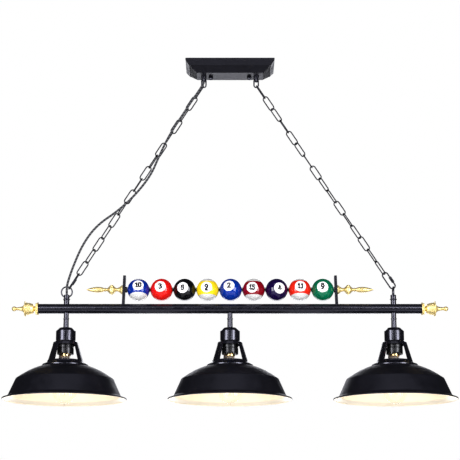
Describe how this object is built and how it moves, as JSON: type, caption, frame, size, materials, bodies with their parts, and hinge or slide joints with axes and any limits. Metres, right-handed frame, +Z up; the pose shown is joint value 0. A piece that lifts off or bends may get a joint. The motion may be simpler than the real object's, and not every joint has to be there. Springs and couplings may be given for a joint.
{
  "type": "pool table lamp",
  "caption": "Hanging pool table light: ceiling canopy, two chains and a cord, long bar with gilt finials, a row of pool balls and three barn shades with lit bulbs.",
  "frame": {"origin": "centre of the canopy's ceiling face", "axes": "+Z up, +X along the bar to the right as seen from the front, the front of the lamp is its -Y side"},
  "size_m": [1.155, 0.316, 0.9038],
  "materials": {
    "black_paint": "satin black",
    "gloss_black": "gloss black",
    "shade_paint": "satin black outside, cream inside",
    "gilt": "polished pale gold with dark patina",
    "zinc": "zinc plated",
    "holder": "black phenolic",
    "brass": "bright",
    "bulb_glass": "clear, lit from inside",
    "cord_cloth": "twisted black and grey braid",
    "wire_plastic": "insulation",
    "wire_nut_plastic": "orange",
    "spacer_black": "black",
    "ball_blue_stripe": "ivory with a blue stripe, number 10",
    "ball_red": "solid red, number 3",
    "ball_black": "solid black, number 8",
    "ball_yellow_stripe": "ivory with a yellow stripe, number 9",
    "ball_blue": "solid blue, number 2",
    "ball_maroon_stripe": "ivory with a maroon stripe, number 15",
    "ball_purple": "solid purple, number 4",
    "ball_red_stripe": "ivory with a red-orange stripe, number 11",
    "ball_green": "solid green, number 6"
  },
  "bodies": {
    "ceiling": {"canopy": "black_paint", "crossbar": "zinc", "crossbar_screws": "zinc", "stud_nuts": "zinc", "canopy_cap_nuts": "gloss_black", "canopy_loops": "black_paint", "canopy_loop_nuts": "zinc", "wire_nuts": "wire_nut_plastic", "supply_leads": "wire_plastic"},
    "top_links": {"chain_top_links": "black_paint"},
    "chain_left": {"chain_left": "black_paint", "cord": "cord_cloth"},
    "chain_right": {"chain_right": "black_paint"},
    "quick_links": {"quick_links": "black_paint"},
    "quick_nut_left": {"quick_link_nut_left": "black_paint"},
    "quick_nut_right": {"quick_link_nut_right": "black_paint"},
    "ball_1": {"ball_1": "ball_blue_stripe"},
    "ball_2": {"ball_2": "ball_red"},
    "ball_3": {"ball_3": "ball_black"},
    "ball_4": {"ball_4": "ball_yellow_stripe"},
    "ball_5": {"ball_5": "ball_blue"},
    "ball_6": {"ball_6": "ball_maroon_stripe"},
    "ball_7": {"ball_7": "ball_purple"},
    "ball_8": {"ball_8": "ball_red_stripe"},
    "ball_9": {"ball_9": "ball_green"},
    "bulb_left": {"bulb_glass_left": "bulb_glass", "bulb_cap_left": "brass"},
    "bulb_middle": {"bulb_glass_middle": "bulb_glass", "bulb_cap_middle": "brass"},
    "bulb_right": {"bulb_glass_right": "bulb_glass", "bulb_cap_right": "brass"},
    "bar": {"ball_rod": "black_paint", "ball_spacers": "spacer_black", "bar_nipples": "zinc", "bar_tube": "black_paint", "bar_wiring": "wire_plastic", "end_finial_left": "gilt", "end_finial_right": "gilt", "end_plugs": "zinc", "hanger_left": "black_paint", "hanger_right": "black_paint", "lampholders": "holder", "post_left": "black_paint", "post_right": "black_paint", "rod_nuts": "black_paint", "screw_shells": "brass", "shade_left": "shade_paint", "shade_middle": "shade_paint", "shade_neck_left": "gloss_black", "shade_neck_middle": "gloss_black", "shade_neck_right": "gloss_black", "shade_right": "shade_paint", "shade_rings": "holder", "socket_cup_left": "gloss_black", "socket_cup_middle": "gloss_black", "socket_cup_right": "gloss_black", "spear_left": "gilt", "spear_right": "gilt", "stem_couplings": "gloss_black", "stems": "gloss_black"}
  },
  "joints": [
    {"name": "swing", "type": "hinge", "parent": "ceiling", "child": "top_links", "pos_m": [0, 0, -0.06135], "axis": [1, 0, 0], "range_deg": [-8, 8]},
    {"name": "sway", "type": "hinge", "parent": "top_links", "child": "quick_links", "pos_m": [-0.00087, 0, 0.05216], "axis": [0, 1, 0], "range_deg": [-2.5, 2.5]},
    {"name": "sway_left", "type": "hinge", "parent": "top_links", "child": "chain_left", "pos_m": [-0.09121, 0, -0.09129], "axis": [0, 1, 0], "range_deg": [-3.28, 3.28], "deforming": ["cord"]},
    {"name": "sway_right", "type": "hinge", "parent": "top_links", "child": "chain_right", "pos_m": [0.0916, 0, -0.09103], "axis": [0, 1, 0], "range_deg": [-3.28, 3.28]},
    {"name": "roll", "type": "hinge", "parent": "quick_links", "child": "bar", "pos_m": [0, 0, -0.6004], "axis": [1, 0, 0], "range_deg": [-8, 8]},
    {"name": "quick_nut_left_slide", "type": "slide", "parent": "quick_links", "child": "quick_nut_left", "axis": [0.5329, 0, 0.8462], "range_m": [0, 0.0095]},
    {"name": "quick_nut_right_slide", "type": "slide", "parent": "quick_links", "child": "quick_nut_right", "axis": [-0.5425, 0, 0.84], "range_m": [0, 0.0095]},
    {"name": "ball_1_spin", "type": "hinge", "parent": "bar", "child": "ball_1", "pos_m": [-0.2352, 0, -0.6063], "axis": [1, 0, 0], "continuous": true},
    {"name": "ball_2_spin", "type": "hinge", "parent": "bar", "child": "ball_2", "pos_m": [-0.176, 0, -0.6063], "axis": [1, 0, 0], "continuous": true},
    {"name": "ball_3_spin", "type": "hinge", "parent": "bar", "child": "ball_3", "pos_m": [-0.1168, 0, -0.6063], "axis": [1, 0, 0], "continuous": true},
    {"name": "ball_4_spin", "type": "hinge", "parent": "bar", "child": "ball_4", "pos_m": [-0.0576, 0, -0.6063], "axis": [1, 0, 0], "continuous": true},
    {"name": "ball_5_spin", "type": "hinge", "parent": "bar", "child": "ball_5", "pos_m": [0.0016, 0, -0.6063], "axis": [1, 0, 0], "continuous": true},
    {"name": "ball_6_spin", "type": "hinge", "parent": "bar", "child": "ball_6", "pos_m": [0.0608, 0, -0.6063], "axis": [1, 0, 0], "continuous": true},
    {"name": "ball_7_spin", "type": "hinge", "parent": "bar", "child": "ball_7", "pos_m": [0.12, 0, -0.6063], "axis": [1, 0, 0], "continuous": true},
    {"name": "ball_8_spin", "type": "hinge", "parent": "bar", "child": "ball_8", "pos_m": [0.1792, 0, -0.6063], "axis": [1, 0, 0], "continuous": true},
    {"name": "ball_9_spin", "type": "hinge", "parent": "bar", "child": "ball_9", "pos_m": [0.2384, 0, -0.6063], "axis": [1, 0, 0], "continuous": true},
    {"name": "bulb_left_unscrew", "type": "slide", "parent": "bar", "child": "bulb_left", "axis": [0, 0, -1], "range_m": [0, 0.024]},
    {"name": "bulb_middle_unscrew", "type": "slide", "parent": "bar", "child": "bulb_middle", "axis": [0, 0, -1], "range_m": [0, 0.024]},
    {"name": "bulb_right_unscrew", "type": "slide", "parent": "bar", "child": "bulb_right", "axis": [0, 0, -1], "range_m": [0, 0.024]}
  ],
  "couplings": [
    {"joint": "sway_left", "follows": "sway", "ratio": 1.3021},
    {"joint": "sway_right", "follows": "sway", "ratio": 1.3026}
  ]
}
